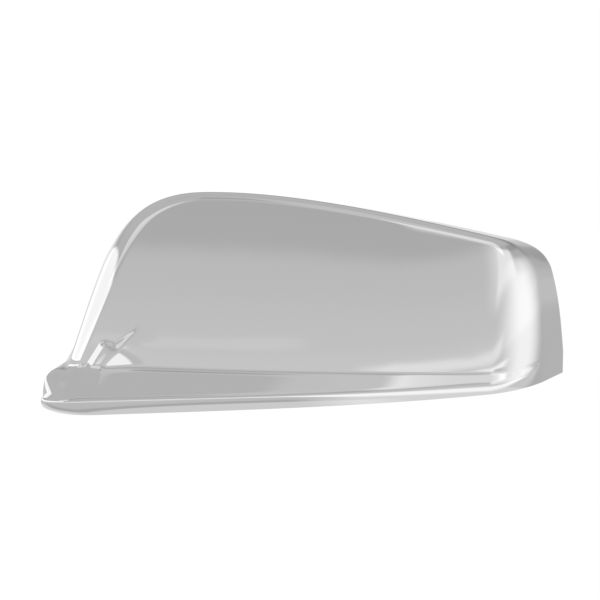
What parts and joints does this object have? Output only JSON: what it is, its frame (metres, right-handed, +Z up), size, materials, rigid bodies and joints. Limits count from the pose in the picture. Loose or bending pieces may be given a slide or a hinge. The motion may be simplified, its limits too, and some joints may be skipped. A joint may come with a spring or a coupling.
{
  "type": "wing mirror cover",
  "caption": "Chrome-plated wing mirror cover: a crowned shell with a ledge along its lower front, open at the back and below, with locating pins and snap hooks inside.",
  "frame": {"origin": "centre of the bounding box in plan, on the plane of the lower rim", "axes": "+X outboard along the cover's length, the front face looks along -Y and the opening along +Y, +Z up from the lower rim"},
  "size_m": [0.2402, 0.0883, 0.0941],
  "materials": {
    "chrome": "mirror-bright chrome plating on moulded ABS, satin on the inside"
  },
  "bodies": {
    "root": {"mirror_cover": "chrome"}
  },
  "joints": []
}
